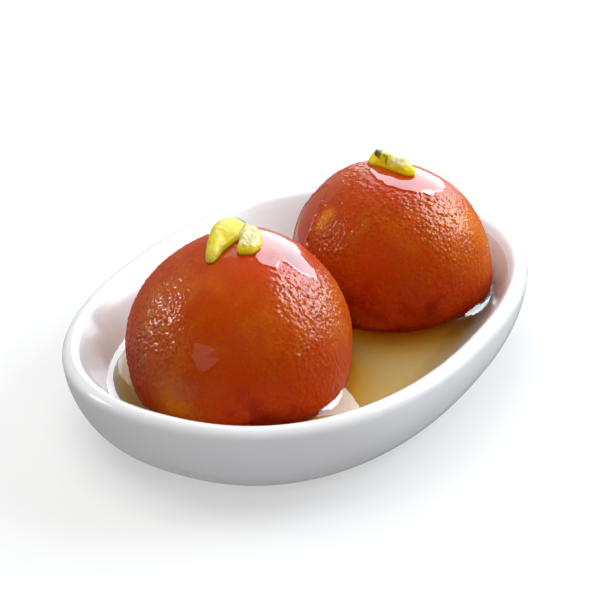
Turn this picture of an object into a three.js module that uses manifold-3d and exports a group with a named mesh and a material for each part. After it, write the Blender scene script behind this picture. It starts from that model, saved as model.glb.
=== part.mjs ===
// Two gulab jamun in sugar syrup, in a small oval porcelain dish, topped with pistachio.
//
// Millimetres, +Z up. The origin is the middle of the dish's footprint, on the surface it
// stands on. The dish is longest along X. The jamun rest on the dish's floor, one towards
// each end, and the syrup fills the dish round them up to SYRUP_LEVEL.

import * as THREE from "three";
import { mergeVertices } from "three/addons/utils/BufferGeometryUtils.js";
import Module from "manifold-3d";

const wasm = await Module();
wasm.setup();

// ---- Driving dimensions -------------------------------------------------------------

// The dish: a rounded oval between an ellipse (power 2) and a rectangle.
const DISH_LENGTH = 120;
const DISH_WIDTH = 88.8;
const DISH_HEIGHT = 19.5;
const OUTLINE_POWER = 2.33;
const LIP_THICKNESS = 4;

// Outer wall: an elliptical belly under the lip, plus a slight even taper.
const BELLY_REACH = 13.8;
const WALL_TAPER = 1.2;

// Foot: a flat ring on the table round a shallow recess.
const FOOT_WIDTH = 4;
const RECESS_DEPTH = 0.8;
const RECESS_SLOPE = 1;

// Well: how far the floor's edge lies inside the lip, and the wall's straight share.
const FLOOR_HEIGHT = 3;
const WELL_REACH_LENGTHWISE = 12;
const WELL_REACH_CROSSWISE = 13.4;
const WELL_STRAIGHT_DEPTH = 0.62;
const WELL_WALL_SLOPE = 0.78;

// The syrup's surface, and the clearance between separate pieces.
const SYRUP_LEVEL = 11;
const CLEARANCE = 0.3;

// The jamun: an ellipsoid crown on a flatter underside, where the soft ball sags, with
// broad soft lumps. `sag` is the power of the underside's curve: 2 is round, 4 boxy.
const LUMP_TIGHTNESS = 6;
const LUMP_DIRECTIONS = [
  { azimuth: -66, elevation: -11 },
  { azimuth: -52, elevation: 16 },
  { azimuth: -34, elevation: 41 },
  { azimuth: 4, elevation: 61 },
  { azimuth: 65, elevation: 58 },
  { azimuth: 97, elevation: 37 },
  { azimuth: 114, elevation: 11 },
  { azimuth: 128, elevation: -16 },
  { azimuth: 30, elevation: 0 },
  { azimuth: -150, elevation: 5 },
];
const FRONT_JAMUN = {
  center: new THREE.Vector3(-23.4, 2.3, 17.4),
  halfWidth: 24.8,
  crown: 23.7,
  underside: 14.1,
  sag: 3.2,
  lumps: [-1.6, 0.2, -0.6, 1.7, -0.1, -0.3, 0, -1.2, -0.5, -0.4],
};
const REAR_JAMUN = {
  center: new THREE.Vector3(24.6, -9.7, 20.1),
  halfWidth: 22,
  crown: 21,
  underside: 16.8,
  sag: 2.4,
  lumps: [0.7, -0.7, -0.3, -0.6, 0.9, 0.3, 0.1, 0.3, 0.4, -0.4],
};

// The pistachio pieces. Each lies on a jamun's crown at (azimuth, elevation) of its
// middle, pointing along `heading` (degrees from +X). `taper` makes the far end wider,
// `bend` curves the piece sideways, `heel` is how much thicker its far end is, and `lean`
// is how far the top of that end is set back from its foot.
const FRONT_SLIVER = {
  jamun: FRONT_JAMUN,
  azimuth: 88,
  elevation: 83.3,
  heading: 8,
  length: 16,
  width: 5.2,
  thickness: 2.6,
  edge: 1.3,
  taper: 0.25,
  bend: 0,
  heel: 0.6,
  lean: 0,
};
const FRONT_CHUNK = {
  jamun: FRONT_JAMUN,
  azimuth: -84,
  elevation: 83,
  heading: 29,
  length: 7.6,
  width: 4.4,
  thickness: 2.2,
  edge: 1.4,
  taper: 0.1,
  bend: 0,
  heel: 1,
  lean: 0,
};
const REAR_SLIVER = {
  jamun: REAR_JAMUN,
  azimuth: 125,
  elevation: 89,
  heading: 88,
  length: 11.2,
  width: 4.6,
  thickness: 2.5,
  edge: 1.2,
  taper: -0.45,
  bend: -0.6,
  heel: 1.8,
  lean: 1.6,
};

// Mesh fineness.
const DISH_SEGMENTS = 64;
const LIP_STEPS = 8;
const BELLY_STEPS = 8;
const FILLET_STEPS = 6;
const JAMUN_SEGMENTS = 44;
const JAMUN_ROWS = 22;
const NUT_SEGMENTS = 20;
const NUT_RINGS = 4;

// ---- Small helpers ------------------------------------------------------------------

// A closed solid from a first pole, rings of equally many points, and a last pole. Seen
// from above, each ring runs anticlockwise and the rings go from the underside up.
function solidFromRings(firstPole, rings, lastPole) {
  const segments = rings[0].length;
  const points = [firstPole, ...rings.flat(), lastPole];
  const last = points.length - 1;
  const faces = [];
  for (let i = 0; i < segments; i++) {
    const next = (i + 1) % segments;
    faces.push(0, 1 + next, 1 + i);
    for (let row = 0; row < rings.length - 1; row++) {
      const low = 1 + row * segments;
      const high = low + segments;
      faces.push(low + i, low + next, high + next);
      faces.push(low + i, high + next, high + i);
    }
    const top = 1 + (rings.length - 1) * segments;
    faces.push(top + i, top + next, last);
  }
  const geometry = new THREE.BufferGeometry();
  const coordinates = points.flatMap((point) => point.toArray());
  geometry.setAttribute("position", new THREE.Float32BufferAttribute(coordinates, 3));
  geometry.setIndex(faces);
  geometry.computeVertexNormals();
  return geometry;
}

function directionOf(azimuth, elevation) {
  const turn = THREE.MathUtils.degToRad(azimuth);
  const rise = THREE.MathUtils.degToRad(elevation);
  return new THREE.Vector3(Math.cos(turn) * Math.cos(rise), Math.sin(turn) * Math.cos(rise), Math.sin(rise));
}

function toManifold(geometry) {
  const bare = geometry.clone();
  bare.deleteAttribute("normal");
  const merged = mergeVertices(bare);
  return new wasm.Manifold(new wasm.Mesh({
    numProp: 3,
    vertProperties: new Float32Array(merged.attributes.position.array),
    triVerts: new Uint32Array(merged.index.array),
  }));
}

function toGeometry(manifold) {
  const mesh = manifold.getMesh();
  const geometry = new THREE.BufferGeometry();
  geometry.setAttribute("position", new THREE.BufferAttribute(mesh.vertProperties, 3));
  geometry.setIndex(new THREE.BufferAttribute(mesh.triVerts, 1));
  geometry.computeVertexNormals();
  return geometry;
}

// ---- Dish ---------------------------------------------------------------------------

// A level ring on the dish's oval, drawn in by an inset along X and along Y.
function ovalRing(insetLengthwise, insetCrosswise, height) {
  const halfLength = DISH_LENGTH / 2 - insetLengthwise;
  const halfWidth = DISH_WIDTH / 2 - insetCrosswise;
  const ring = [];
  for (let i = 0; i < DISH_SEGMENTS; i++) {
    const turn = (2 * Math.PI * i) / DISH_SEGMENTS;
    const c = Math.cos(turn);
    const s = Math.sin(turn);
    const x = halfLength * Math.sign(c) * Math.abs(c) ** (2 / OUTLINE_POWER);
    const y = halfWidth * Math.sign(s) * Math.abs(s) ** (2 / OUTLINE_POWER);
    ring.push(new THREE.Vector3(x, y, height));
  }
  return ring;
}

const LIP_RADIUS = LIP_THICKNESS / 2;
const LIP_CENTER_HEIGHT = DISH_HEIGHT - LIP_RADIUS;
const WELL_DEPTH = LIP_CENTER_HEIGHT - FLOOR_HEIGHT;

// The well's wall from the lip down to the floor, as shares of its depth and reach: a
// straight slope, then a fillet that ends level with the floor.
function wellCurve() {
  const straightEnd = { depth: WELL_STRAIGHT_DEPTH, reach: WELL_WALL_SLOPE * WELL_STRAIGHT_DEPTH };
  const curve = [straightEnd];
  for (let i = 1; i <= FILLET_STEPS; i++) {
    const t = i / FILLET_STEPS;
    const depth = 1 - (1 - straightEnd.depth) * (1 - t) ** 2;
    const reach = straightEnd.reach * (1 - t) ** 2 + 2 * WELL_WALL_SLOPE * t * (1 - t) + t ** 2;
    curve.push({ depth, reach });
  }
  return curve;
}

// A ring at one point of the well's wall, held `gap` above and inside the porcelain.
function wellRing({ depth, reach }, gap) {
  const lengthwise = LIP_THICKNESS + gap + WELL_REACH_LENGTHWISE * reach;
  const crosswise = LIP_THICKNESS + gap + WELL_REACH_CROSSWISE * reach;
  return ovalRing(lengthwise, crosswise, LIP_CENTER_HEIGHT - WELL_DEPTH * depth + gap);
}

function makeDish() {
  const footInset = BELLY_REACH + WALL_TAPER;
  const recessInset = footInset + FOOT_WIDTH;
  const rings = [];
  const recessTop = recessInset + RECESS_SLOPE;
  rings.push(ovalRing(recessTop, recessTop, RECESS_DEPTH));
  rings.push(ovalRing(recessInset, recessInset, 0));
  for (let i = BELLY_STEPS; i > 0; i--) {
    const turn = (Math.PI / 2) * (i / BELLY_STEPS);
    const inset = BELLY_REACH * (1 - Math.cos(turn)) + WALL_TAPER * Math.sin(turn);
    rings.push(ovalRing(inset, inset, LIP_CENTER_HEIGHT * (1 - Math.sin(turn))));
  }
  for (let i = 0; i <= LIP_STEPS; i++) {
    const turn = (Math.PI * i) / LIP_STEPS;
    const inset = LIP_RADIUS * (1 - Math.cos(turn));
    rings.push(ovalRing(inset, inset, LIP_CENTER_HEIGHT + LIP_RADIUS * Math.sin(turn)));
  }
  for (const place of wellCurve()) {
    rings.push(wellRing(place, 0));
  }
  const below = new THREE.Vector3(0, 0, RECESS_DEPTH);
  const floor = new THREE.Vector3(0, 0, FLOOR_HEIGHT);
  return solidFromRings(below, rings, floor);
}

// ---- Jamun --------------------------------------------------------------------------

// Distance from a jamun's centre to its skin along a unit direction.
function jamunRadius(jamun, direction) {
  const across = Math.hypot(direction.x, direction.y) / jamun.halfWidth;
  const isCrown = direction.z >= 0;
  const along = Math.abs(direction.z) / (isCrown ? jamun.crown : jamun.underside);
  const power = isCrown ? 2 : jamun.sag;
  let radius = (across ** power + along ** power) ** (-1 / power);
  LUMP_DIRECTIONS.forEach(({ azimuth, elevation }, i) => {
    const nearness = direction.dot(directionOf(azimuth, elevation)) - 1;
    radius += jamun.lumps[i] * Math.exp(LUMP_TIGHTNESS * nearness);
  });
  return radius;
}

function skinPoint(jamun, direction, offset) {
  return direction.clone().multiplyScalar(jamunRadius(jamun, direction) + offset).add(jamun.center);
}

function makeJamun(jamun, offset = 0) {
  const rings = [];
  for (let row = 1; row < JAMUN_ROWS; row++) {
    const elevation = -90 + (180 * row) / JAMUN_ROWS;
    const ring = [];
    for (let i = 0; i < JAMUN_SEGMENTS; i++) {
      ring.push(skinPoint(jamun, directionOf((360 * i) / JAMUN_SEGMENTS, elevation), offset));
    }
    rings.push(ring);
  }
  const bottom = skinPoint(jamun, directionOf(0, -90), offset);
  const top = skinPoint(jamun, directionOf(0, 90), offset);
  return solidFromRings(bottom, rings, top);
}

// ---- Syrup --------------------------------------------------------------------------

function makeSyrup() {
  const rings = wellCurve().reverse().map((place) => wellRing(place, CLEARANCE));
  const edgeDepth = (LIP_CENTER_HEIGHT + CLEARANCE - SYRUP_LEVEL) / WELL_DEPTH;
  rings.push(wellRing({ depth: edgeDepth, reach: WELL_WALL_SLOPE * edgeDepth }, CLEARANCE));
  const below = new THREE.Vector3(0, 0, FLOOR_HEIGHT + CLEARANCE);
  const surface = new THREE.Vector3(0, 0, SYRUP_LEVEL);
  let syrup = toManifold(solidFromRings(below, rings, surface));
  for (const jamun of [FRONT_JAMUN, REAR_JAMUN]) {
    syrup = syrup.subtract(toManifold(makeJamun(jamun, CLEARANCE)));
  }
  return toGeometry(syrup);
}

// ---- Pistachio ----------------------------------------------------------------------

function makeNut(nut) {
  const up = directionOf(nut.azimuth, nut.elevation);
  const turn = THREE.MathUtils.degToRad(nut.heading);
  const along = new THREE.Vector3(Math.cos(turn), Math.sin(turn), 0).projectOnPlane(up).normalize();
  const side = new THREE.Vector3().crossVectors(up, along);
  const reach = jamunRadius(nut.jamun, up);

  // A point of the piece: `out` runs from its middle (0) to its rim (1).
  function point(turnRound, out, share) {
    const s = Math.cos(turnRound) * out;
    const t = Math.sin(turnRound) * out * (1 + nut.taper * Math.cos(turnRound));
    const direction = up.clone().multiplyScalar(reach);
    direction.addScaledVector(along, (s * nut.length) / 2 - nut.lean * share * Math.max(0, s));
    direction.addScaledVector(side, (t * nut.width) / 2 + nut.bend * s ** 2);
    direction.normalize();
    const dome = (nut.thickness - nut.edge) * (1 - out ** 2);
    const depth = nut.edge + dome + nut.heel * Math.max(0, s) ** 2;
    return skinPoint(nut.jamun, direction, CLEARANCE + depth * share);
  }

  const rings = [];
  for (const [share, order] of [[0, 1], [1, -1]]) {
    for (let k = 1; k <= NUT_RINGS; k++) {
      const out = (order > 0 ? k : NUT_RINGS + 1 - k) / NUT_RINGS;
      const ring = [];
      for (let i = 0; i < NUT_SEGMENTS; i++) {
        ring.push(point((2 * Math.PI * i) / NUT_SEGMENTS, out, share));
      }
      rings.push(ring);
    }
  }
  return solidFromRings(point(0, 0, 0), rings, point(0, 0, 1));
}

// ---- The group ----------------------------------------------------------------------

function addPiece(group, name, geometry, look) {
  const mesh = new THREE.Mesh(geometry, new THREE.MeshStandardMaterial({ metalness: 0, ...look }));
  mesh.name = name;
  group.add(mesh);
}

const group = new THREE.Group();
addPiece(group, "dish", makeDish(), { color: 0xf4f3f5, roughness: 0.12 });
addPiece(group, "syrup", makeSyrup(), { color: 0xb9882f, roughness: 0.08 });
addPiece(group, "jamun_front", makeJamun(FRONT_JAMUN), { color: 0x9c3305, roughness: 0.25 });
addPiece(group, "jamun_rear", makeJamun(REAR_JAMUN), { color: 0x9c3305, roughness: 0.25 });
addPiece(group, "pistachio_front_sliver", makeNut(FRONT_SLIVER), { color: 0xd2c62c, roughness: 0.5 });
addPiece(group, "pistachio_front_chunk", makeNut(FRONT_CHUNK), { color: 0xe3d98a, roughness: 0.5 });
addPiece(group, "pistachio_rear_sliver", makeNut(REAR_SLIVER), { color: 0xcfc02e, roughness: 0.5 });

export default group;
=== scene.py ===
"""Two gulab jamun in sugar syrup, in a small oval porcelain dish, topped with pistachio.

Shapes are worked out in millimetres, in the part's own frame, and made in metres."""

import math

import bpy
import numpy as np
from mathutils import Matrix, Vector, noise


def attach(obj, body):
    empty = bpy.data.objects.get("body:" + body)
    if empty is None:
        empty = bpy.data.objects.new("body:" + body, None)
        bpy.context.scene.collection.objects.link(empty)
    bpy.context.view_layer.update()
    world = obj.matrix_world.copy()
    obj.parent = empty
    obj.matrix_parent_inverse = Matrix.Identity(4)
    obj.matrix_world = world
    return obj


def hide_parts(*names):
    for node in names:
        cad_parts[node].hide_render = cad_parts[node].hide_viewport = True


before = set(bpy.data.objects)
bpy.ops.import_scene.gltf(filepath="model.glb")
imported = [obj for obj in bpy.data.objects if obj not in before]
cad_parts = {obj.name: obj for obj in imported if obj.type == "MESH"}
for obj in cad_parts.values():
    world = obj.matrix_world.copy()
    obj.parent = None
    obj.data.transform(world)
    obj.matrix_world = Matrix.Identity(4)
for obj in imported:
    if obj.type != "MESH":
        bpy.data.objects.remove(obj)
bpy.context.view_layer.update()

MM = 0.001
WHITE = (1, 1, 1, 1)

# ---- Driving dimensions, the same as the part's (mm) ---------------------------------

DISH_LENGTH, DISH_WIDTH, DISH_HEIGHT = 120.0, 88.8, 19.5
# Power of the superellipse that the dish's outline follows.
OUTLINE_POWER = 2.33
LIP_RADIUS = 2.0
BELLY_REACH, WALL_TAPER = 13.8, 1.2
FOOT_WIDTH, RECESS_DEPTH, RECESS_SLOPE = 4.0, 0.8, 1.0
FLOOR_HEIGHT = 3.0
# How far the well's wall comes in along x and y, the share of its depth that is straight, and
# the slope of that share.
WELL_REACH = np.array([12.0, 13.4])
WELL_STRAIGHT_DEPTH, WELL_WALL_SLOPE = 0.62, 0.78
LIP_CENTER_HEIGHT = DISH_HEIGHT - LIP_RADIUS
WELL_DEPTH = LIP_CENTER_HEIGHT - FLOOR_HEIGHT

# The jamun's lumps: how narrow they are, and where (azimuth and elevation in degrees).
LUMP_TIGHTNESS = 6.0
LUMP_DIRECTIONS = [
    (-66, -11), (-52, 16), (-34, 41), (4, 61), (65, 58),
    (97, 37), (114, 11), (128, -16), (30, 0), (-150, 5),
]
# "sag" is the power of the lower half's oval, "lumps" the height of each lump and "swell" the
# wider swellings, each by azimuth, elevation, reach (degrees) and height.
FRONT = {
    "center": (-23.4, 2.3, 17.4),
    "half_width": 24.8,
    "crown": 23.7,
    "underside": 14.1,
    "sag": 3.2,
    "lumps": (-1.6, 0.2, -0.6, 1.7, -0.1, -0.3, 0, -1.2, -0.5, -0.4),
    "swell": [],
}
REAR = {
    "center": (24.6, -9.7, 20.1),
    "half_width": 22.0,
    "crown": 21.0,
    "underside": 16.8,
    "sag": 2.4,
    "lumps": (0.7, -0.7, -0.3, -0.6, 0.9, 0.3, 0.1, 0.3, 0.4, -0.4),
    "swell": [(-72, -26, 18, 1.2)],
}

# ---- Helpers --------------------------------------------------------------------------


def direction_of(azimuth, elevation):
    turn, rise = np.radians(azimuth), np.radians(elevation)
    return np.stack([np.cos(turn) * np.cos(rise), np.sin(turn) * np.cos(rise), np.sin(rise)], -1)


def smoothstep(low, high, x):
    t = np.clip((x - low) / (high - low), 0, 1)
    return t * t * (3 - 2 * t)


def perlin(points, wavelength, shift=0.0):
    """Perlin noise, about -1 to 1, at each point in mm."""
    scaled = (points / wavelength + shift).tolist()
    return np.array([noise.noise(Vector(p)) for p in scaled])


def waves(points, seed, layers):
    """Layers of Perlin noise, each of a height, a wavelength (mm) and a step of the seed."""
    return sum(height * perlin(points, wavelength, seed + step) for height, wavelength, step in layers)


def cells(points, wavelength, shift=0.0):
    """Distance to the nearest of the scattered cell centres, about 0 to 1, and to the next."""
    scaled = (points / wavelength + shift).tolist()
    found = [noise.voronoi(Vector(p))[0][:2] for p in scaled]
    return np.array(found).T


def linear(red, green, blue):
    """A colour given as sRGB bytes, as the linear numbers that shaders use."""
    c = np.array([red, green, blue]) / 255
    return (*np.where(c <= 0.04045, c / 12.92, ((c + 0.055) / 1.055) ** 2.4), 1.0)


def make_piece(name, points, faces, material, node, attributes=()):
    """A smooth mesh piece from points in mm. It rides on the root and replaces a CAD node."""
    mesh = bpy.data.meshes.new(name)
    mesh.from_pydata((np.asarray(points) * MM).tolist(), [], faces)
    mesh.validate()
    mesh.shade_smooth()
    for key, values in attributes:
        layer = mesh.attributes.new(key, "FLOAT", "POINT")
        layer.data.foreach_set("value", np.asarray(values, np.float32))
    piece = bpy.data.objects.new(name, mesh)
    bpy.context.scene.collection.objects.link(piece)
    mesh.materials.append(material)
    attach(piece, "root")
    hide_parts(node)
    return piece


def ring_faces(rings, segments):
    """Faces of a closed skin over rings of points, then a first and a last pole."""
    base = np.arange(segments)
    after = (base + 1) % segments
    faces = []
    for row in range(rings - 1):
        low, high = row * segments, (row + 1) * segments
        faces += np.stack([low + base, low + after, high + after, high + base], -1).tolist()
    first, last = rings * segments, rings * segments + 1
    top = (rings - 1) * segments
    faces += np.stack([after, base, np.full(segments, first)], -1).tolist()
    faces += np.stack([top + base, top + after, np.full(segments, last)], -1).tolist()
    return faces


def oval_ring(inset_x, inset_y, height, segments):
    """A ring of the dish's outline, brought in by the insets."""
    turn = 2 * np.pi * np.arange(segments) / segments
    c, s = np.cos(turn), np.sin(turn)
    x = (DISH_LENGTH / 2 - inset_x) * np.sign(c) * np.abs(c) ** (2 / OUTLINE_POWER)
    y = (DISH_WIDTH / 2 - inset_y) * np.sign(s) * np.abs(s) ** (2 / OUTLINE_POWER)
    return np.stack([x, y, np.broadcast_to(height, (segments,))], -1)


def spots_at(directions, spots):
    """Sum of soft round spots, each by azimuth, elevation, reach (degrees) and weight."""
    total = np.zeros(len(directions))
    for azimuth, elevation, reach, weight in spots:
        ahead = directions @ direction_of(azimuth, elevation) - 1
        total += weight * np.exp(ahead / (1 - math.cos(math.radians(reach))))
    return total


def jamun_radius(jamun, directions):
    across = np.hypot(directions[:, 0], directions[:, 1]) / jamun["half_width"]
    is_crown = directions[:, 2] >= 0
    along = np.abs(directions[:, 2]) / np.where(is_crown, jamun["crown"], jamun["underside"])
    power = np.where(is_crown, 2.0, jamun["sag"])
    radius = (across**power + along**power) ** (-1 / power)
    for place, lump in zip(LUMP_DIRECTIONS, jamun["lumps"], strict=True):
        radius = radius + lump * np.exp(LUMP_TIGHTNESS * (directions @ direction_of(*place) - 1))
    return radius + spots_at(directions, jamun["swell"])


def jamun_gap(jamun, points):
    """About how far points lie outside a jamun, in mm."""
    offset = points - np.array(jamun["center"])
    reach = np.linalg.norm(offset, axis=1)
    return reach - jamun_radius(jamun, offset / reach[:, None])


def well_place(t):
    """(depth, reach) shares of the well's wall: t 0 is the lip, 1 the fillet's start, 2 its end."""
    t = np.asarray(t, float)
    straight = (WELL_STRAIGHT_DEPTH, WELL_WALL_SLOPE * WELL_STRAIGHT_DEPTH)
    u = np.clip(t - 1, 0, 1)
    depth = 1 - (1 - straight[0]) * (1 - u) ** 2
    reach = straight[1] * (1 - u) ** 2 + 2 * WELL_WALL_SLOPE * u * (1 - u) + u * u
    return np.where(t <= 1, straight[0] * t, depth), np.where(t <= 1, straight[1] * t, reach)


def well_ring(t, into, segments):
    """A ring on the well's wall, pushed `into` the porcelain; t can vary along the ring."""
    depth, reach = well_place(t)
    inset_x, inset_y = (2 * LIP_RADIUS - into + across * reach for across in WELL_REACH)
    return oval_ring(inset_x, inset_y, LIP_CENTER_HEIGHT - WELL_DEPTH * depth - into, segments)


# ---- Materials ------------------------------------------------------------------------


class Shader:
    """A small builder for one Principled material's nodes."""

    def __init__(self, name):
        self.material = bpy.data.materials.new(name)
        self.material.use_nodes = True
        self.tree = self.material.node_tree
        self.surface = self.tree.nodes["Principled BSDF"]
        self.place = self.node("ShaderNodeTexCoord").outputs["Object"]

    def node(self, kind, **settings):
        made = self.tree.nodes.new(kind)
        for key, value in settings.items():
            setattr(made, key, value)
        return made

    def link(self, source, target):
        """Give a socket a number or a colour, or the output of another node."""
        if isinstance(source, (int, float, tuple)):
            target.default_value = source
        else:
            self.tree.links.new(source, target)

    def set(self, **values):
        for key, value in values.items():
            self.surface.inputs[key.replace("_", " ")].default_value = value

    def feed(self, **sources):
        for key, source in sources.items():
            self.link(source, self.surface.inputs[key.replace("_", " ")])

    def noise(self, wavelength, detail=2.0, roughness=0.5, distortion=0.0):
        """Noise with features about one wavelength (mm) across."""
        made = self.node("ShaderNodeTexNoise")
        made.inputs["Scale"].default_value = 1 / (wavelength * MM)
        made.inputs["Detail"].default_value = detail
        made.inputs["Roughness"].default_value = roughness
        made.inputs["Distortion"].default_value = distortion
        self.link(self.place, made.inputs["Vector"])
        return made.outputs[0]

    def voronoi(self, wavelength, feature="F1"):
        """Distance to scattered points about one wavelength (mm) apart."""
        made = self.node("ShaderNodeTexVoronoi", feature=feature)
        made.inputs["Scale"].default_value = 1 / (wavelength * MM)
        self.link(self.place, made.inputs["Vector"])
        return made.outputs["Distance"]

    def attribute(self, name):
        return self.node("ShaderNodeAttribute", attribute_name=name).outputs["Fac"]

    def ramp(self, value, *stops):
        """A colour for each value, from stops of (value, colour)."""
        made = self.node("ShaderNodeValToRGB")
        band = made.color_ramp
        while len(band.elements) < len(stops):
            band.elements.new(0.5)
        for element, (at, colour) in zip(band.elements, stops, strict=True):
            element.position = at
            element.color = colour
        self.link(value, made.inputs[0])
        return made.outputs["Color"]

    def mix(self, factor, a, b, blend="MIX"):
        made = self.node("ShaderNodeMix", data_type="RGBA", blend_type=blend)
        self.link(factor, made.inputs[0])
        self.link(a, made.inputs["A"])
        self.link(b, made.inputs["B"])
        return made.outputs["Result"]

    def tint(self, colour, by):
        return self.mix(1.0, colour, by, "MULTIPLY")

    def math(self, operation, *values):
        made = self.node("ShaderNodeMath", operation=operation)
        for socket, value in zip(made.inputs, values):
            self.link(value, socket)
        return made.outputs[0]

    def spread(self, value, low, high, to_low, to_high):
        """The value's range, low to high, taken smoothly to another range."""
        made = self.node("ShaderNodeMapRange", interpolation_type="SMOOTHSTEP")
        for socket, number in zip(made.inputs, (value, low, high, to_low, to_high)):
            self.link(number, socket)
        return made.outputs[0]

    def bump(self, height, distance, strength=1.0, normal=None):
        """A bumped normal; the distance is in mm."""
        made = self.node("ShaderNodeBump")
        made.inputs["Distance"].default_value = distance * MM
        self.link(strength, made.inputs["Strength"])
        self.link(height, made.inputs["Height"])
        if normal is not None:
            self.link(normal, made.inputs["Normal"])
        return made.outputs[0]


# The foot's unglazed rim reaches this far up (mm).
BARE_HEIGHT = 0.3


def porcelain_material():
    """Glazed porcelain.

    "jamun_shade" is painted shade and painted pinkish bounce light from the jamun on the well's
    wall, "jamun_glow" a painted orange glow of light from the jamun in the floor under the syrup.
    """
    s = Shader("glazed_porcelain")
    s.set(IOR=1.5, Specular_IOR_Level=0.25)
    cloud = s.noise(22, 3)
    glaze = s.ramp(cloud, (0.3, linear(216, 215, 218)), (0.7, linear(221, 220, 222)))
    height = s.node("ShaderNodeSeparateXYZ")
    s.link(s.place, height.inputs[0])
    bare = s.spread(height.outputs[2], 0.0, BARE_HEIGHT * MM, 1.0, 0.0)
    clay = s.ramp(s.noise(0.6, 4), (0.35, linear(200, 193, 184)), (0.65, linear(214, 208, 200)))
    patches = s.spread(s.noise(6, 3, 0.5), 0.3, 0.7, 0.85, 1.15)
    # Painted shade and painted pinkish bounce light from the jamun on the well's wall.
    jamun_shade_tint = s.ramp(
        s.math("MULTIPLY", s.attribute("jamun_shade"), patches),
        (0.0, WHITE),
        (0.5, (0.87, 0.76, 0.70, 1)),
        (1.0, (0.68, 0.48, 0.38, 1)),
    )
    # A painted orange glow of light from the jamun in the floor under the syrup.
    glow = s.ramp(
        s.attribute("jamun_glow"),
        (0.0, WHITE),
        (0.5, (1.12, 0.86, 0.32, 1)),
        (1.0, (1.4, 0.62, 0.08, 1)),
    )
    glaze = s.tint(s.tint(glaze, jamun_shade_tint), glow)
    s.feed(Base_Color=s.mix(bare, glaze, clay))
    smudge = s.spread(s.noise(9, 4, 0.6), 0.35, 0.75, 0.12, 0.2)
    s.feed(Roughness=s.math("MAXIMUM", smudge, s.math("MULTIPLY", bare, 0.6)))
    ripple = s.bump(s.noise(7, 2), 0.05)
    s.feed(Normal=s.bump(s.noise(1.6, 2), 0.006, 1.0, ripple))
    return s.material


def jamun_material():
    """Fried crust under syrup.

    "grain" is how far the crust shows, "shine" how much syrup coats it and "tone_and_shading" how
    light: the crust's own colour, with painted shade that darkens it lower down and spots of painted
    light and shade on its flanks."""
    s = Shader("jamun_crust")
    s.set(IOR=1.45, Coat_Roughness=0.04, Coat_IOR=1.9, Specular_IOR_Level=0.04)
    grain, shine, tone_and_shading = s.attribute("grain"), s.attribute("shine"), s.attribute("tone_and_shading")
    cloud = s.spread(s.noise(8, 5, 0.6, 0.5), 0.3, 0.7, -0.12, 0.12)
    # The base colour follows tone_and_shading, which holds painted light and shade as well as the
    # crust's own colour.
    base = s.ramp(
        s.math("ADD", tone_and_shading, cloud),
        (0.0, (0.17, 0.008, 0.0001, 1)),
        (0.12, (0.28, 0.015, 0.0002, 1)),
        (0.25, (0.41, 0.031, 0.0004, 1)),
        (0.5, (0.38, 0.042, 0.0005, 1)),
        (0.75, (0.43, 0.074, 0.0010, 1)),
        (1.0, (0.54, 0.140, 0.0035, 1)),
    )
    pebble = s.voronoi(0.75)
    fine = s.noise(0.5, 4, 0.65)
    speck = s.spread(fine, 0.35, 0.65, 0.9, 1.1)
    # Painted shade in the creases between the crust's pebbles, with their tops a little lighter.
    crease_shade = s.mix(grain, WHITE, s.spread(pebble, 0.2, 0.8, 1.1, 0.86))
    base = s.tint(s.tint(base, speck), crease_shade)
    s.feed(Base_Color=base, Roughness=s.spread(grain, 0.0, 1.0, 0.35, 0.5), Coat_Weight=shine)
    ripple = s.math("SUBTRACT", s.math("MULTIPLY", fine, 1.2), pebble)
    s.feed(Normal=s.bump(ripple, 0.16, s.spread(grain, 0, 1, 0.08, 1.0)))
    film = s.math("SUBTRACT", s.noise(0.7, 1, 0.4), s.voronoi(0.78, "SMOOTH_F1"))
    s.feed(Coat_Normal=s.bump(film, 0.18, s.spread(grain, 0.15, 0.85, 0.02, 1.0)))
    return s.material


def syrup_material():
    """Clear syrup that takes up more blue light the deeper it is."""
    s = Shader("sugar_syrup")
    s.set(IOR=1.47, Transmission_Weight=1.0, Roughness=0.0, Base_Color=WHITE)
    s.feed(Normal=s.bump(s.noise(6, 2), 0.02))
    haze = s.node("ShaderNodeVolumeAbsorption")
    haze.inputs["Color"].default_value = (0.98, 0.80, 0.1, 1)
    haze.inputs["Density"].default_value = 80
    s.tree.links.new(haze.outputs[0], s.tree.nodes["Material Output"].inputs["Volume"])
    return s.material


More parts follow.
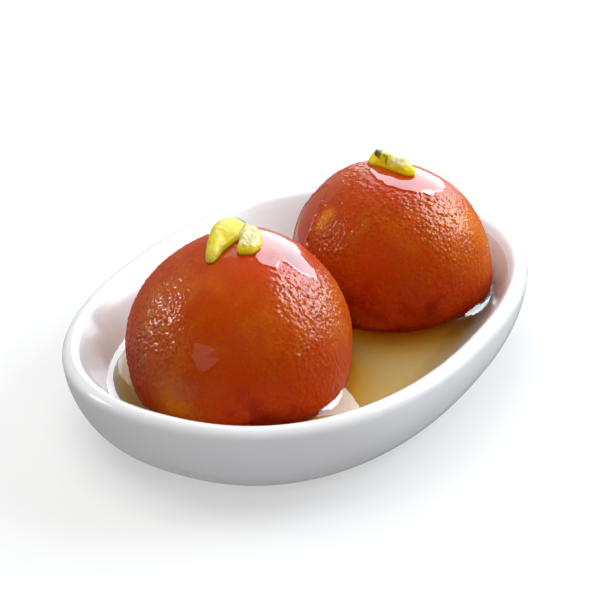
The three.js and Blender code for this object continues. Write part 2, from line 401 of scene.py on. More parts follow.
def pistachio_material():
    """Nut flesh.

    "cream" is how far a face is broken, "skin" how much dark skin is on it and "rim" how
    much painted light makes it paler, on its sides and towards its top's rim."""
    s = Shader("pistachio_flesh")
    s.set(IOR=1.45, Coat_Weight=0.08, Coat_Roughness=0.15, Specular_IOR_Level=0.1)
    cream, skin = s.attribute("cream"), s.attribute("skin")
    flesh = s.ramp(
        s.noise(2.4, 4, 0.6),
        (0.32, (0.47, 0.36, 0.002, 1)),
        (0.5, (0.52, 0.42, 0.004, 1)),
        (0.68, (0.56, 0.48, 0.07, 1)),
    )
    broken = s.ramp(
        s.noise(0.8, 4, 0.65),
        (0.36, (0.50, 0.42, 0.05, 1)),
        (0.5, (0.62, 0.56, 0.26, 1)),
        (0.64, (0.70, 0.66, 0.50, 1)),
    )
    husk = s.ramp(
        s.noise(1.2, 3, 0.6),
        (0.5, (0.09, 0.10, 0.027, 1)),
        (0.65, (0.16, 0.06, 0.01, 1)),
    )
    grit = s.spread(s.noise(0.5, 3, 0.6), 0.3, 0.7, -0.3, 0.3)
    worn = s.spread(s.math("ADD", cream, grit), 0.35, 0.65, 0.0, 1.0)
    coated = s.spread(s.math("MULTIPLY_ADD", grit, 0.55, skin), 0.2, 0.8, 0.0, 1.0)
    # Painted light: the flesh is made paler where "rim" is high, on the sides and towards the top's
    # rim.
    flesh = s.tint(flesh, s.ramp(s.attribute("rim"), (0.0, WHITE), (1.0, (1.6, 1.55, 1.0, 1))))
    s.feed(Base_Color=s.mix(coated, s.mix(worn, flesh, broken), husk))
    s.feed(Roughness=s.spread(worn, 0.0, 1.0, 0.38, 0.6))
    s.feed(Normal=s.bump(s.noise(0.4, 4, 0.6), 0.12, s.spread(worn, 0, 1, 0.35, 1.0)))
    return s.material


# ---- Dish -----------------------------------------------------------------------------

DISH_SEGMENTS = 288
BELLY_RINGS, LIP_RINGS, WELL_RINGS = 26, 20, 32
# Rings over the recess, over the lip's last slope and over the well's floor, as shares.
RECESS_SHARES = (0.0, 0.35, 0.7)
LIP_SHARES = (0.33, 0.67)
FLOOR_SHARES = (0.8, 0.55, 0.3, 0.1)
RECESS_SPAN = 22.0
# Rounded edges below the dish, as (how far further in than the edge, how much higher).
RECESS_TOP_EDGE = [(0.3, 0.0), (0.0, -0.02)]
RECESS_FOOT_EDGE = [(0.3, 0.24), (0.08, 0.06), (-0.25, 0.0), (-0.8, 0.0)]
FOOT_OUTER_EDGE = [(2.0, 0.0), (0.8, 0.0), (0.4, 0.03), (0.12, 0.16)]
# The belly's curve starts this many degrees round, just above the foot.
BELLY_START = 87.5
# The depth over which the lip's curve runs into the well's wall.
LIP_MERGE = 7.0

# Painted shade and painted pinkish bounce light from the jamun on the well's wall: how far it
# reaches from the jamun, between which heights it fades in at the foot and out at the top, and how
# strong it is. For the larger jamun it is painted only on the wall behind it, fading in over these
# places along x and y.
JAMUN_SHADE_REACH = 10.0
JAMUN_SHADE_FOOT, JAMUN_SHADE_TOP = (9.5, 11.5), (19.2, 17.4)
FRONT_JAMUN_SHADE, REAR_JAMUN_SHADE = 0.85, 1.0
FRONT_JAMUN_SHADE_X, FRONT_JAMUN_SHADE_Y = (-52, -32), (-10, 28)
# A painted orange glow of light from the jamun in the dish's floor under the syrup.
JAMUN_GLOW_REACH, JAMUN_GLOW_TOP = 6.6, (9.0, 4.5)


def dish_rings():
    """Rings from the recess's middle over the foot, belly, lip and well to the floor's middle."""
    foot = BELLY_REACH + WALL_TAPER
    recess = foot + FOOT_WIDTH
    rim = recess + RECESS_SLOPE
    profile = [(rim + RECESS_SPAN * (1 - share), RECESS_DEPTH) for share in RECESS_SHARES]
    profile += [(rim + further, RECESS_DEPTH + rise) for further, rise in RECESS_TOP_EDGE]
    profile += [(recess + further, rise) for further, rise in RECESS_FOOT_EDGE]
    profile += [(foot + further, rise) for further, rise in FOOT_OUTER_EDGE]
    for turn in np.radians(np.linspace(BELLY_START, 0, BELLY_RINGS)):
        inset = BELLY_REACH * (1 - math.cos(turn)) + WALL_TAPER * math.sin(turn)
        profile.append((inset, LIP_CENTER_HEIGHT * (1 - math.sin(turn))))
    lean = WELL_WALL_SLOPE * WELL_REACH.mean() / WELL_DEPTH
    last_turn = np.pi - math.atan(lean)
    for turn in np.linspace(0, last_turn, LIP_RINGS)[1:]:
        inset = LIP_RADIUS * (1 - math.cos(turn))
        height = LIP_CENTER_HEIGHT + LIP_RADIUS * math.sin(turn)
        profile.append((inset, height))
    extra = inset + (height - LIP_CENTER_HEIGHT) * lean - 2 * LIP_RADIUS
    for share in LIP_SHARES:
        above = (height - LIP_CENTER_HEIGHT) * (1 - share)
        profile.append((2 * LIP_RADIUS + extra - above * lean, LIP_CENTER_HEIGHT + above))
    rings = [oval_ring(inset, inset, height, DISH_SEGMENTS) for inset, height in profile]
    for t in np.linspace(0, 2, WELL_RINGS):
        depth, reach = well_place(t)
        thicker = extra * (1 - smoothstep(0, LIP_MERGE, WELL_DEPTH * depth))
        inset = 2 * LIP_RADIUS + WELL_REACH * reach + thicker
        rings.append(oval_ring(*inset, LIP_CENTER_HEIGHT - WELL_DEPTH * depth, DISH_SEGMENTS))
    for share in FLOOR_SHARES:
        rings.append(well_ring(2, 0.0, DISH_SEGMENTS) * (share, share, 1))
    return rings


def make_dish():
    rings = dish_rings()
    points = np.concatenate([*rings, [[0, 0, RECESS_DEPTH]], [[0, 0, FLOOR_HEIGHT]]])
    x, y, z = points.T
    # Painted shade and pinkish bounce light from each jamun on the well's wall, and a painted glow of
    # its light in the floor, both by how near the jamun is.
    front_jamun_shade = FRONT_JAMUN_SHADE * smoothstep(*FRONT_JAMUN_SHADE_X, x) * smoothstep(*FRONT_JAMUN_SHADE_Y, y)
    jamun_shade, jamun_glow = np.zeros(len(points)), np.zeros(len(points))
    for jamun, strength in ((FRONT, front_jamun_shade), (REAR, REAR_JAMUN_SHADE)):
        gap = np.maximum(jamun_gap(jamun, points), 0)
        jamun_shade = np.maximum(jamun_shade, strength * np.exp(-gap / JAMUN_SHADE_REACH))
        jamun_glow = np.maximum(jamun_glow, np.exp(-((gap / JAMUN_GLOW_REACH) ** 2)))
    well_start = len(rings) - WELL_RINGS - len(FLOOR_SHARES)
    inside = np.repeat(np.arange(len(rings)) >= well_start, DISH_SEGMENTS)
    inside = np.append(inside, [False, True])
    jamun_shade *= smoothstep(*JAMUN_SHADE_FOOT, z) * smoothstep(*JAMUN_SHADE_TOP, z) * inside
    jamun_glow *= smoothstep(*JAMUN_GLOW_TOP, z) * inside
    make_piece(
        "dish_porcelain", points, ring_faces(len(rings), DISH_SEGMENTS), porcelain_material(),
        "dish", [("jamun_shade", jamun_shade), ("jamun_glow", jamun_glow)],
    )


# ---- Jamun ----------------------------------------------------------------------------

JAMUN_GRID = 128
# Layers of noise on a jamun: height, wavelength (mm) and step of the seed.
CLOUD = [(1.0, 7.0, 0), (0.5, 3.0, 7)]
FILM_EDGE = [(0.8, 2.4, 1), (0.4, 1.1, 2)]
SOFT_DENTS = [(0.16, 13.0, 3), (0.07, 5.0, 5)]
GRIT = [(0.2, 1.2, 9)]
# The crust's pebbles: size, height, how deep they sit and how much the noise moves them (mm).
PEBBLE_SIZE, PEBBLE_HEIGHT, PEBBLE_SINK, PEBBLE_WANDER = 0.9, 0.58, 0.18, 0.3
# The film of syrup: its height, half the width of its soft edge and the bead's width (mm).
FILM_HEIGHT, FILM_SOFTNESS, BEAD_WIDTH = 0.09, 0.22, 0.4
FILM_COAT = 0.55
# Shares that make up grain, shine and tone_and_shading. "climb" is added between two elevations
# (degrees); in tone_and_shading it is painted shade, darker lower down.
GRAIN_BASE, GRAIN_CLOUD = 0.42, 0.3
SHINE_BASE, SHINE_CLIMB, SHINE_CLOUD, SHINE_HEIGHTS = 0.04, 0.2, 0.12, (5, 60)
SHINE_SMOOTH, SHINE_GRAINY, SHINE_GRAIN_RANGE = 0.15, 0.85, (0.1, 0.6)
SHINE_LIMITS = (0.05, 0.9)
TONE_BASE, TONE_SHADE_CLIMB, TONE_GRAIN, TONE_CLOUD, TONE_SHADE_HEIGHTS = 0.12, 0.38, 0.12, 0.05, (-20, 40)


def ball_grid(count):
    """Even directions over a ball from a cube's faces cut count by count, and their faces."""
    steps = np.arange(count + 1)
    ids, quads, offset = [], [], 0
    for axis in range(3):
        for side in (0, count):
            a, b = np.meshgrid(steps, steps, indexing="ij")
            triple = np.empty((count + 1, count + 1, 3), int)
            triple[..., axis] = side
            triple[..., (axis + 1) % 3] = a
            triple[..., (axis + 2) % 3] = b
            ids.append(triple.reshape(-1, 3))
            corner = offset + (steps[:-1, None] * (count + 1) + steps[None, :-1])
            quad = np.stack([corner, corner + count + 1, corner + count + 2, corner + 1], -1)
            quads.append(quad.reshape(-1, 4)[:, :: 1 if side else -1])
            offset += (count + 1) ** 2
    found, back = np.unique(np.concatenate(ids), axis=0, return_inverse=True)
    directions = np.tan(np.pi / 4 * (2 * found / count - 1))
    directions /= np.linalg.norm(directions, axis=1, keepdims=True)
    return directions, back.reshape(-1)[np.concatenate(quads)]


def patch_gap(directions, corners, radius):
    """Distance in mm outside a patch whose corners are (azimuth, elevation); negative inside."""
    corners = direction_of(*np.array(corners).T)
    middle = corners.mean(0) / np.linalg.norm(corners.mean(0))
    side = np.cross((0, 0, 1.0), middle)
    side /= np.linalg.norm(side)
    axes = np.stack([side, np.cross(middle, side)], 1)

    def flatten(d):
        ahead = np.clip(d @ middle, -1, 1)[:, None]
        return (d @ axes) * radius * np.arccos(ahead) / np.sqrt(np.maximum(1 - ahead**2, 1e-9))

    at, ends = flatten(directions), flatten(corners)
    gap = np.full(len(at), 1e9)
    inside = np.zeros(len(at), bool)
    for a, b in zip(ends, np.roll(ends, -1, axis=0)):
        run = b - a
        share = np.clip((at - a) @ run / (run @ run), 0, 1)
        gap = np.minimum(gap, np.linalg.norm(at - a - share[:, None] * run, axis=1))
        crosses = (a[1] > at[:, 1]) != (b[1] > at[:, 1])
        rise = run[1] if run[1] else 1e-9
        inside ^= crosses & (at[:, 0] < a[0] + run[0] * (at[:, 1] - a[1]) / rise)
    return np.where(inside, -gap, gap)


def make_jamun(name, jamun, node, material, films, spots, seed):
    directions, quads = ball_grid(JAMUN_GRID)
    base = directions * jamun_radius(jamun, directions)[:, None]
    cloud = waves(base, seed, CLOUD)
    edge_noise = waves(base, seed, FILM_EDGE)
    film = np.zeros(len(base))
    bead = np.zeros(len(base))
    for bead_height, corners in films:
        gap = patch_gap(directions, corners, jamun["half_width"]) + edge_noise
        film = np.maximum(film, smoothstep(FILM_SOFTNESS, -FILM_SOFTNESS, gap))
        bead = np.maximum(bead, bead_height * np.exp(-((gap / BEAD_WIDTH) ** 2)))
    elevation = np.degrees(np.arcsin(directions[:, 2]))
    grain = np.clip(GRAIN_BASE + GRAIN_CLOUD * cloud + spots_at(directions, spots["grain"]), 0, 1)
    grain = grain * (1 - film)
    shine = SHINE_BASE + SHINE_CLIMB * smoothstep(*SHINE_HEIGHTS, elevation)
    held = SHINE_SMOOTH + SHINE_GRAINY * smoothstep(*SHINE_GRAIN_RANGE, grain)
    shine = shine + spots_at(directions, spots["shine"]) * held
    shine = np.clip(shine + SHINE_CLOUD * cloud, *SHINE_LIMITS)
    shine = FILM_COAT * (shine * (1 - film) + film)
    # Painted shade: the crust is darker lower down; its spots add painted light and shade on the
    # flanks.
    tone_and_shading = TONE_BASE + TONE_SHADE_CLIMB * smoothstep(*TONE_SHADE_HEIGHTS, elevation) + TONE_GRAIN * grain
    tone_and_shading = tone_and_shading + spots_at(directions, spots["tone_and_shading"]) + TONE_CLOUD * cloud
    near, after = cells(base + PEBBLE_WANDER * edge_noise[:, None], PEBBLE_SIZE, seed)
    pebble = PEBBLE_HEIGHT * (after - near) + waves(base, seed, GRIT) - PEBBLE_SINK
    lift = waves(base, seed, SOFT_DENTS) + grain * pebble + FILM_HEIGHT * film + bead
    points = np.array(jamun["center"]) + base + directions * lift[:, None]
    attributes = [("grain", grain), ("shine", shine), ("tone_and_shading", tone_and_shading)]
    make_piece(name, points, quads.tolist(), material, node, attributes)


# ---- Syrup ----------------------------------------------------------------------------

SYRUP_SEGMENTS, SYRUP_WALL_RINGS, SYRUP_TOP_STEPS = 384, 26, 130
SYRUP_FLOOR_SHARES = (0.3, 0.6, 0.85)
SYRUP_FLAT = 10.2
# How high the syrup climbs what it meets, and how soon that fades. The dish's left end, over
# these places along x, has its own values.
WALL_RISE, LEFT_WALL_RISE = 0.5, 1.9
WALL_FADE, LEFT_WALL_FADE = 1.0, 1.3
LEFT_END = (-34, -46)
FRONT_RISE, FRONT_FADE = 1.8, 2.6
REAR_RISE, REAR_FADE = 1.8, 1.65
# In a channel this narrow (mm), between the rear jamun and the wall, the syrup climbs more.
CHANNEL_WIDTH, CHANNEL_RISE = 3.2, 1.4
# The gaps to the jamun are taken this far above the flat syrup.
GAP_HEIGHT = 0.6
# A gap to the wall that is too wide to matter, for the syrup's middle.
FAR_FROM_WALL = 40.0
# How far the syrup reaches into the porcelain and into the jamun, so that no air gap shows.
INTO_WALL, INTO_BALL = 0.12, 0.25
# The search for the ring where the syrup ends: a first place on the wall, and its rounds.
EDGE_START, EDGE_ROUNDS = 0.75, 12
CUTTER_GRID = 48
SYRUP_CREASE = 40


def wall_climb(x, wall_gap):
    left = smoothstep(*LEFT_END, x)
    rise = WALL_RISE + (LEFT_WALL_RISE - WALL_RISE) * left
    return rise * np.exp(-wall_gap / (WALL_FADE + (LEFT_WALL_FADE - WALL_FADE) * left))


def syrup_top(x, y, wall_gap):
    """Height of the syrup's surface, which climbs a little where it meets the dish and the jamun."""
    height = SYRUP_FLAT + wall_climb(x, wall_gap)
    places = np.stack([x, y, np.full(len(x), SYRUP_FLAT + GAP_HEIGHT)], -1)
    for jamun, rise, fade in ((FRONT, FRONT_RISE, FRONT_FADE), (REAR, REAR_RISE, REAR_FADE)):
        gap = np.maximum(jamun_gap(jamun, places), 0)
        if jamun is REAR:
            rise = rise + CHANNEL_RISE * np.exp(-(((gap + wall_gap) / CHANNEL_WIDTH) ** 2))
        height = height + rise * np.exp(-gap / fade)
    return height


def cut_out_jamun(piece):
    """Cut the places of both jamun out of a piece."""
    cutters = []
    for jamun in (FRONT, REAR):
        directions, quads = ball_grid(CUTTER_GRID)
        radius = jamun_radius(jamun, directions) - INTO_BALL
        ball = np.array(jamun["center"]) + directions * radius[:, None]
        mesh = bpy.data.meshes.new("cutter")
        mesh.from_pydata((ball * MM).tolist(), [], quads.tolist())
        cutter = bpy.data.objects.new("cutter", mesh)
        bpy.context.scene.collection.objects.link(cutter)
        cut = piece.modifiers.new("cut", "BOOLEAN")
        cut.operation, cut.solver, cut.object = "DIFFERENCE", "EXACT", cutter
        cutters.append(cutter)
    bpy.context.view_layer.update()
    graph = bpy.context.evaluated_depsgraph_get()
    shaped = bpy.data.meshes.new_from_object(piece.evaluated_get(graph))
    piece.modifiers.clear()
    old, piece.data = piece.data, shaped
    bpy.data.meshes.remove(old)
    shaped.name = piece.name
    for cutter in cutters:
        bpy.data.meshes.remove(cutter.data)
    shaped.shade_smooth()
    shaped.set_sharp_from_angle(angle=math.radians(SYRUP_CREASE))


def make_syrup():
    edge_t = np.full(SYRUP_SEGMENTS, EDGE_START)
    for _ in range(EDGE_ROUNDS):
        x, y, _z = well_ring(edge_t, INTO_WALL, SYRUP_SEGMENTS).T
        fall = LIP_CENTER_HEIGHT - INTO_WALL - syrup_top(x, y, np.zeros(SYRUP_SEGMENTS))
        edge_t = (edge_t + fall / WELL_DEPTH / WELL_STRAIGHT_DEPTH) / 2
    rings = []
    for share in np.linspace(0, 1, SYRUP_WALL_RINGS):
        rings.append(well_ring(2 + (edge_t - 2) * share, INTO_WALL, SYRUP_SEGMENTS))
    rings = [rings[0] * (share, share, 1) for share in SYRUP_FLOOR_SHARES] + rings
    edge = rings[-1]
    for share in 1 - np.linspace(0, 1, SYRUP_TOP_STEPS)[1:-1]:
        ring = edge * (share, share, 1)
        wall_gap = np.linalg.norm(edge[:, :2], axis=1) * (1 - share)
        ring[:, 2] = syrup_top(ring[:, 0], ring[:, 1], wall_gap)
        rings.append(ring)
    top_middle = syrup_top(np.zeros(1), np.zeros(1), np.array([FAR_FROM_WALL]))[0]
    points = np.concatenate([*rings, [[0, 0, FLOOR_HEIGHT - INTO_WALL]], [[0, 0, top_middle]]])
    faces = ring_faces(len(rings), SYRUP_SEGMENTS)
    cut_out_jamun(make_piece("syrup_pool", points, faces, syrup_material(), "syrup"))


# ---- Pistachio ------------------------------------------------------------------------

NUT_SEGMENTS, NUT_RINGS = 96, 26
# How far the underside reaches into the jamun, and how far the rest is lifted off it (mm).
NUT_SINK, NUT_LIFT = 0.15, 0.25
# The side's rings, each by its share of the height and its width.
SIDE_RINGS = [(0.3, 1.02), (0.6, 1.03), (0.85, 1.02)]
TOP_SPACING = 1.3
RIM_SHARE, DOME_POWER, DOME_FLATNESS = 0.42, 2.6, 0.6
# Painted light on a nut's top fades in between these shares of the way out to its rim; its sides get
# all of it.
PAINTED_LIGHT_OUT = (0.2, 1.0)
# Noise that roughens a piece, up and to the side: height, wavelength (mm), step of the seed.
ROUGH_UP = [(0.14, 2.2, 0), (0.08, 0.9, 4)]
ROUGH_SIDE = [(0.12, 1.6, 8)]

# Each piece's place and heading on its jamun (degrees) and its size (mm). "edge" sets its rim's
# height, "bend" curves it sideways, "heel" lifts its far end, "lean" draws that end's top back,
# "tilt" makes one side of its dome higher and "painted_light" is how much painted light
# brightens its sides and the top towards its rim.
FRONT_SLIVER = {
    "jamun": FRONT, "azimuth": 88, "elevation": 83.3, "heading": 8,
    "length": 16, "width": 5.2, "thickness": 2.6, "edge": 1.3,
    "bend": 0, "heel": 0.6, "lean": 0, "tilt": 0.4, "painted_light": 0.2,
}
FRONT_CHUNK = {
    "jamun": FRONT, "azimuth": -84, "elevation": 83, "heading": 29,
    "length": 7.6, "width": 4.4, "thickness": 2.2, "edge": 1.4,
    "bend": 0, "heel": 1, "lean": 0, "tilt": 0.1, "painted_light": 0.5,
}
REAR_SLIVER = {
    "jamun": REAR, "azimuth": 125, "elevation": 89, "heading": 88,
    "length": 11.2, "width": 4.6, "thickness": 2.5, "edge": 1.2,
    "bend": -0.6, "heel": 1.8, "lean": 2.4, "tilt": -0.45, "painted_light": 1.0,
}
# Outlines, in shares of half the length and half the width.
FRONT_SLIVER_OUTLINE = [
    (-1.06, 0.2), (-1.08, -0.25), (-0.9, -0.52), (-0.55, -0.72), (-0.2, -1.1), (0.05, -1.5),
    (0.4, -1.45), (0.8, -1.0), (1.0, -0.2), (0.93, 0.5), (0.6, 0.9), (0.15, 1.02), (-0.35, 0.8),
    (-0.78, 0.5),
]
FRONT_CHUNK_OUTLINE = [
    (-0.95, 0.85), (-0.98, 0.2), (-0.85, -0.5), (-0.4, -1.05), (0.1, -1.25), (0.6, -1.1),
    (0.95, -0.6), (1.05, 0.0), (0.95, 0.6), (0.4, 0.85), (-0.1, 0.8), (-0.6, 1.05),
]
REAR_SLIVER_OUTLINE = [
    (1.12, -0.25), (0.85, 0.05), (0.42, 0.1), (0.0, 0.25), (-0.4, 0.46), (-0.75, 0.55),
    (-1.0, 0.35), (-1.1, 0.0), (-0.95, -0.55), (-0.5, -0.85), (0.1, -0.9), (0.75, -0.95),
]
# Marks, each between two shares along the piece, across it or out to its rim. "SLANT" is how
# much a place across shifts the place along.
SLIVER_SKIN_ALONG, SLIVER_SKIN_SLANT, SLIVER_SKIN_OUT = (0.4, 0.65), 0.15, (0.66, 0.76)
SLIVER_CREAM, SLIVER_CREAM_ALONG = 0.3, (-0.3, -1.0)
CHUNK_FLESH, CHUNK_FLESH_ALONG, CHUNK_FLESH_ACROSS, CHUNK_FLESH_RANGE = 0.12, 0.9, 0.8, (0.35, 0.95)
CHUNK_SIDE_FLESH = 0.8
REAR_CREAM, REAR_CREAM_ALONG, REAR_CREAM_OUT = 0.75, (0.2, -0.25), (0.9, 0.65)
REAR_TIP_ALONG, REAR_TIP_ACROSS = (0.5, 0.62), (0.2, -0.05)
STREAK, STREAK_AT, STREAK_SLANT = 0.54, (0.25, -0.05), 0.7
STREAK_WIDTH, STREAK_LENGTH = (0.28, 0.12), (0.3, 0.2)
# Chips of a broken face: their size, height and depth (mm) and seed, and how high and how much
# wider the slower waves under them are. They fade out towards the rim.
CHUNK_CHIPS = {"size": 1.5, "height": 0.55, "sink": 0.15, "slow_height": 0.35, "seed": 3.0}
REAR_CHIPS = {"size": 1.6, "height": 0.3, "sink": 0.1, "slow_height": 0.3, "seed": 8.0}
CHIP_SLOWNESS = 1.5
CHIPS_OUT, REAR_CHIPS_ALONG = (1, 0.85), (0.6, 0.2)


def closed_curve(corners, count):
    """Even steps in turn along a smooth closed curve through the corners."""
    corners = np.array(corners)
    place = np.arange(count) * len(corners) / count
    at, share = np.floor(place).astype(int), (place % 1)[:, None]
    a, b, c, d = (corners[(at + step) % len(corners)] for step in (-1, 0, 1, 2))
    bend = 2 * a - 5 * b + 4 * c - d
    return b + 0.5 * share * (c - a + share * (bend + share * (3 * (b - c) + d - a)))


def make_nut(name, nut, outline, marks, node, material, seed):
    """A piece of nut on its jamun.

    marks(s, t, out, on_top) gives (cream, skin, chips): s and t are shares of half the length
    and half the width, out is the share of the way to the rim and on_top is 1 there and 0 below."""
    up = direction_of(nut["azimuth"], nut["elevation"])
    turn = math.radians(nut["heading"])
    along = np.array([math.cos(turn), math.sin(turn), 0.0])
    along -= up * (along @ up)
    along /= np.linalg.norm(along)
    side = np.cross(up, along)
    reach = jamun_radius(nut["jamun"], up[None])[0]
    center = np.array(nut["jamun"]["center"])
    rim_height = nut["edge"] * RIM_SHARE
    rim = closed_curve(outline, NUT_SEGMENTS)
    if (rim[:, 0] * np.roll(rim[:, 1], -1) - rim[:, 1] * np.roll(rim[:, 0], -1)).sum() < 0:
        rim = rim[::-1]
    points, cream, skin, painted_light_share = [], [], [], []

    def layer(flat, out, share):
        """Points over a flat outline at a share of the piece's height."""
        s, t = flat.T
        forth = s * nut["length"] / 2 - nut["lean"] * share * np.maximum(0, s)
        sideways = t * nut["width"] / 2 + nut["bend"] * s**2
        to = up * reach + along * forth[:, None] + side * sideways[:, None]
        to /= np.linalg.norm(to, axis=1, keepdims=True)
        dome = (nut["thickness"] - rim_height) * max(0.0, 1 - out**DOME_POWER) ** DOME_FLATNESS
        depth = rim_height + dome * (1 + nut["tilt"] * t) + nut["heel"] * np.maximum(0, s) ** 2
        on_top = 1 if share == 1 else 0
        made_cream, made_skin, chips = marks(s, t, out, on_top)
        lift = (depth + chips * on_top) * share + NUT_LIFT if share else np.full(len(s), -NUT_SINK)
        points.append(center + to * (jamun_radius(nut["jamun"], to) + lift)[:, None])
        cream.append(made_cream)
        skin.append(made_skin)
        # Painted light that makes the flesh paler: all of it on the sides, on the top fading in towards
        # the rim.
        painted_light_share.append(np.full(len(s), nut["painted_light"] * (smoothstep(*PAINTED_LIGHT_OUT, out) if on_top else 1)))

    steps = np.linspace(0, 1, NUT_RINGS + 1)
    for out in steps[1:]:
        layer(rim * out, out, 0.0)
    for share, out in SIDE_RINGS:
        layer(rim * out, out, share)
    for out in 1 - steps[:-1] ** TOP_SPACING:
        layer(rim * out, out, 1.0)
    layer(np.zeros((1, 2)), 0.0, 0.0)
    layer(np.zeros((1, 2)), 0.0, 1.0)
    faces = ring_faces(len(points) - 2, NUT_SEGMENTS)
    points = np.concatenate(points)
    upward, sideward = waves(points, seed, ROUGH_UP), waves(points, seed, ROUGH_SIDE)
    points = points + up * upward[:, None] + side * sideward[:, None]
    looks = [("cream", cream), ("skin", skin), ("rim", painted_light_share)]
    attributes = [(key, np.concatenate(values)) for key, values in looks]
    make_piece(name, points, faces, material, node, attributes)


def chip_height(s, t, out, nut, size, height, sink, slow_height, seed):
    """Chips and dents (mm) of a broken face."""
    flat = np.stack([s * nut["length"] / 2, t * nut["width"] / 2, np.zeros(len(s))], -1)
    near, after = cells(flat, size, seed)
    slow = perlin(flat, size * CHIP_SLOWNESS, seed + 2)
    return (height * (after - near) + slow_height * slow - sink) * smoothstep(*CHIPS_OUT, out)


def front_sliver_marks(s, t, out, on_top):
    """Dark skin on the rim at one end, and a paler other end."""
    cream = SLIVER_CREAM * smoothstep(*SLIVER_CREAM_ALONG, s)
    skin = smoothstep(*SLIVER_SKIN_ALONG, s + SLIVER_SKIN_SLANT * t) * smoothstep(*SLIVER_SKIN_OUT, out)
    return cream, skin, 0.0


def front_chunk_marks(s, t, out, on_top):
    """Broken all over its top, but for the flesh along one side of its rim."""
    rimward = out * np.maximum(-s * CHUNK_FLESH_ALONG, -t * CHUNK_FLESH_ACROSS)
    flesh = smoothstep(*CHUNK_FLESH_RANGE, rimward + CHUNK_FLESH)
    cream = np.clip(1.0 - flesh - (0 if on_top else CHUNK_SIDE_FLESH), 0, 1)
    return cream, np.zeros(len(s)), chip_height(s, t, out, FRONT_CHUNK, **CHUNK_CHIPS)


def rear_sliver_marks(s, t, out, on_top):
    """A broken half, dark skin at the other end's tip and a streak of it between them."""
    cream = smoothstep(*REAR_CREAM_ALONG, s) * smoothstep(*REAR_CREAM_OUT, out) * REAR_CREAM
    tip = smoothstep(*REAR_TIP_ALONG, s) * smoothstep(*REAR_TIP_ACROSS, t)
    along, across = s - STREAK_AT[0], t - STREAK_AT[1]
    off_streak = np.abs(across + STREAK_SLANT * along)
    streak = smoothstep(*STREAK_WIDTH, off_streak) * smoothstep(*STREAK_LENGTH, np.abs(along))
    skin = np.maximum(tip, STREAK * streak)
    chips = chip_height(s, t, out, REAR_SLIVER, **REAR_CHIPS) * smoothstep(*REAR_CHIPS_ALONG, s)
    return cream * on_top, skin * on_top, chips


# ---- The object -----------------------------------------------------------------------

# Patches of thick, smooth syrup on the crust, each by the height of the bead along its edge (mm)
# and its corners' azimuth and elevation.
FRONT_FILMS = [
    (0.05, [
        (-121, 71), (-115, 67), (-103, 63), (-87, 64), (-84, 60), (-84, 54), (-82, 49), (-76, 44),
        (-64, 48), (-40, 48), (0, 58), (60, 75), (-160, 86), (-100, 78),
    ]),
    (0.0, [
        (-176, 28), (-173, 29), (-167, 30), (-160, 27), (-158, 26), (-165, 24), (-160, 22),
        (-162, 19), (-167, 16), (-172, 17), (-175, 22),
    ]),
]
REAR_FILMS = [
    (0.05, [
        (120, 78), (172, 75), (-155, 70), (-134, 66), (-120, 62), (-105, 58), (-84, 55), (-62, 55),
        (-30, 60), (0, 70), (60, 78),
    ]),
    (0.03, [(100, 42), (92, 52), (108, 62), (135, 59), (141, 54), (139, 48), (136, 44), (124, 44)]),
    (0.25, [(110, 48), (116, 52), (128, 46), (137, 38), (141, 29), (144, 17), (120, 10), (105, 25)]),
]
# How the crust varies: azimuth, elevation, reach (degrees), weight. Of the tone_and_shading spots,
# the lighter ones on the right flanks and low on the front jamun's left are painted light, and the
# darker ones low down painted shade.
FRONT_SPOTS = {
    "grain": [(155, 32, 22, 0.6), (-95, 45, 24, 0.7), (-150, 58, 26, -0.9), (-150, 5, 22, -0.2)],
    "shine": [(-92, 42, 24, 0.27), (158, 25, 22, 0.6), (178, -2, 12, 0.4)],
    "tone_and_shading": [
        (-80, 15, 30, 0.22), (160, 32, 24, 0.1), (174, -8, 18, 0.7), (-130, -30, 18, -0.34),
        (-150, -22, 22, -0.1), (-75, 62, 16, -0.45),
    ],
}
REAR_SPOTS = {
    "grain": [(-110, 48, 24, 0.6), (150, 40, 14, 0.2), (-150, 20, 24, -0.3)],
    "shine": [(-100, 45, 24, 0.2), (-70, 15, 24, 0.1)],
    "tone_and_shading": [
        (-95, 38, 30, 0.2), (-75, 8, 26, 0.36), (150, 10, 24, -0.15),
        (150, 43, 4, 0.3), (148, 38, 5, 0.5), (148, 32, 5, 0.35), (150, 25, 5, 0.15),
        (-120, 68, 18, -0.4),
    ],
}

make_dish()
crust_material = jamun_material()
make_jamun(
    "jamun_front_crust", FRONT, "jamun_front", crust_material, FRONT_FILMS, FRONT_SPOTS, 11.0
)
make_jamun("jamun_rear_crust", REAR, "jamun_rear", crust_material, REAR_FILMS, REAR_SPOTS, 37.0)
make_syrup()
nut_material = pistachio_material()
make_nut(
    "sliver_front", FRONT_SLIVER, FRONT_SLIVER_OUTLINE, front_sliver_marks,
    "pistachio_front_sliver", nut_material, 3.0,
)
make_nut(
    "chunk_front", FRONT_CHUNK, FRONT_CHUNK_OUTLINE, front_chunk_marks,
    "pistachio_front_chunk", nut_material, 5.0,
)
make_nut(
    "sliver_rear", REAR_SLIVER, REAR_SLIVER_OUTLINE, rear_sliver_marks,
    "pistachio_rear_sliver", nut_material, 9.0,
)

# ---- Floor, light and camera (metres) -------------------------------------------------

FLOOR_REACH, BOUNCE_DEPTH = 6.0, 0.0002
AIM = Vector((0, 0, 0.03))


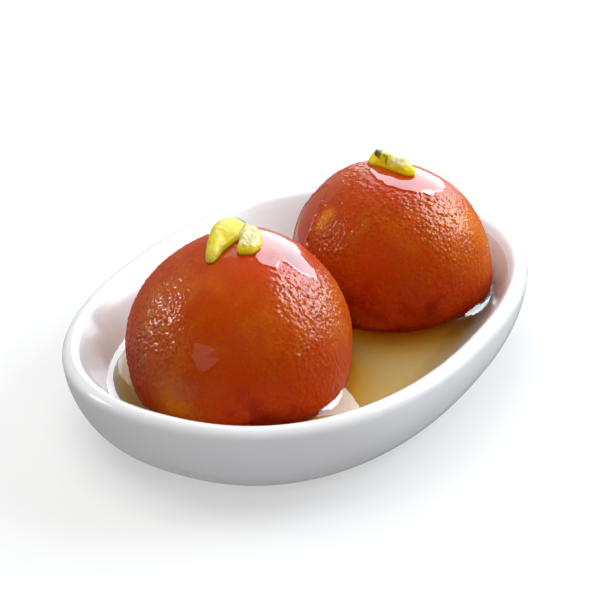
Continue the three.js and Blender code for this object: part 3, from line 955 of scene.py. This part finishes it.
def make_floor(name, height, base, glow):
    """A large level square of plain paper that also glows a little."""
    mesh = bpy.data.meshes.new(name)
    corners = [(-1, -1), (1, -1), (1, 1), (-1, 1)]
    points = [(x * FLOOR_REACH, y * FLOOR_REACH, height) for x, y in corners]
    mesh.from_pydata(points, [], [(0, 1, 2, 3)])
    floor = bpy.data.objects.new(name, mesh)
    bpy.context.scene.collection.objects.link(floor)
    s = Shader(name)
    s.set(Base_Color=(base, base, base, 1), Roughness=0.9, Specular_IOR_Level=0.0)
    s.set(Emission_Color=WHITE, Emission_Strength=glow)
    mesh.materials.append(s.material)
    floor.visible_glossy = False
    return floor


def studio_light(
    name, azimuth, elevation, distance, size, radiance, colour=(1, 1, 1),
    diffuse=True, glossy=True, transmission=True,
):
    """An area light that faces the dish from a direction in degrees."""
    lamp = bpy.data.lights.new(name, "AREA")
    lamp.shape = "RECTANGLE"
    lamp.size, lamp.size_y = size
    lamp.energy = radiance * math.pi * size[0] * size[1]
    lamp.color = colour
    made = bpy.data.objects.new(name, lamp)
    bpy.context.scene.collection.objects.link(made)
    towards = Vector(direction_of(azimuth, elevation).tolist())
    made.location = towards * distance + AIM
    made.rotation_euler = (-towards).to_track_quat("-Z", "Y").to_euler()
    made.visible_camera = False
    made.visible_diffuse = diffuse
    made.visible_glossy = glossy
    made.visible_transmission = transmission


# The seen floor is white paper. The grey one just under it gives the light that bounces back up.
make_floor("floor_white", 0.0, 0.42, 0.42).visible_diffuse = False
make_floor("floor_bounce", -BOUNCE_DEPTH, 0.42, 0.30).visible_camera = False

# Panels that only show in the shine.
studio_light("window", 11, 30, 0.62, (0.58, 0.70), 6.4, (0.84, 0.90, 1.0), diffuse=False)
studio_light(
    "side", -39, 32, 0.62, (0.52, 0.45), 15.0, (0.86, 0.93, 1.0), diffuse=False, transmission=False
)
studio_light("glint", 110, 26, 0.6, (0.11, 0.16), 27.0, (1.0, 0.88, 0.76), diffuse=False)
studio_light("card", 176, 17, 0.5, (0.34, 0.28), 0.55, (1.0, 0.88, 0.68), diffuse=False)
# Softer ones that light the surfaces and don't show in the shine.
studio_light("window_fill", 11, 30, 0.62, (0.58, 0.70), 3.2, (0.86, 0.94, 1.0), glossy=False)
studio_light("side_fill", -44, 28, 0.62, (0.40, 0.45), 6.8, (0.85, 0.93, 1.0), glossy=False)
studio_light("overhead", 90, 80, 1.4, (1.2, 1.2), 3.1, (1.0, 0.98, 0.95), glossy=False)
studio_light("back_fill", 80, 40, 0.8, (0.5, 0.5), 2.0, glossy=False)
studio_light("front_fill", -142, 36, 1.2, (1.0, 0.8), 2.5, glossy=False)
studio_light("low_fill", -48, 10, 0.8, (0.5, 0.25), 3.2, (0.9, 0.95, 1.0), glossy=False)

# The room's light grows towards this azimuth: from and to which cosine, and how strong there.
SKY_AZIMUTH, SKY_RANGE, SKY_STRENGTH = 60, (-0.2, 1.0), (0.02, 0.4)
world = bpy.data.worlds.new("studio")
bpy.context.scene.world = world
world.use_nodes = True
nodes, links = world.node_tree.nodes, world.node_tree.links
sky_place = nodes.new("ShaderNodeTexCoord")
sky_turn = nodes.new("ShaderNodeVectorMath")
sky_turn.operation = "DOT_PRODUCT"
sky_turn.inputs[1].default_value = direction_of(SKY_AZIMUTH, 0).tolist()
sky_level = nodes.new("ShaderNodeMapRange")
sky_level.interpolation_type = "SMOOTHSTEP"
for socket, number in zip(sky_level.inputs[1:5], (*SKY_RANGE, *SKY_STRENGTH)):
    socket.default_value = number
links.new(sky_place.outputs["Generated"], sky_turn.inputs[0])
links.new(sky_turn.outputs["Value"], sky_level.inputs[0])
links.new(sky_level.outputs[0], nodes["Background"].inputs[1])
nodes["Background"].inputs[0].default_value = WHITE

# The camera's focal length and the photo's size in pixels, its sensor (mm) and its eye (mm).
FOCAL_LENGTH, PHOTO_SIZE, SENSOR_WIDTH = 1988.34, 600, 36.0
EYE = (-338.272, -187.827, 214.893)
camera = bpy.data.cameras.new("camera")
camera.sensor_width = SENSOR_WIDTH
camera.lens = FOCAL_LENGTH / PHOTO_SIZE * SENSOR_WIDTH
eye = bpy.data.objects.new("camera", camera)
bpy.context.scene.collection.objects.link(eye)
right = Vector((0.472048, -0.880983, -0.032255))
up = Vector((0.413539, 0.188973, 0.890660))
forward = Vector((0.778560, 0.433773, -0.453525))
eye.matrix_world = Matrix((
    (right.x, up.x, -forward.x, EYE[0] * MM),
    (right.y, up.y, -forward.y, EYE[1] * MM),
    (right.z, up.z, -forward.z, EYE[2] * MM),
    (0, 0, 0, 1),
))
camera.clip_start, camera.clip_end = 0.01, 20
bpy.context.scene.camera = eye
bpy.context.scene.view_settings.view_transform = "Standard"
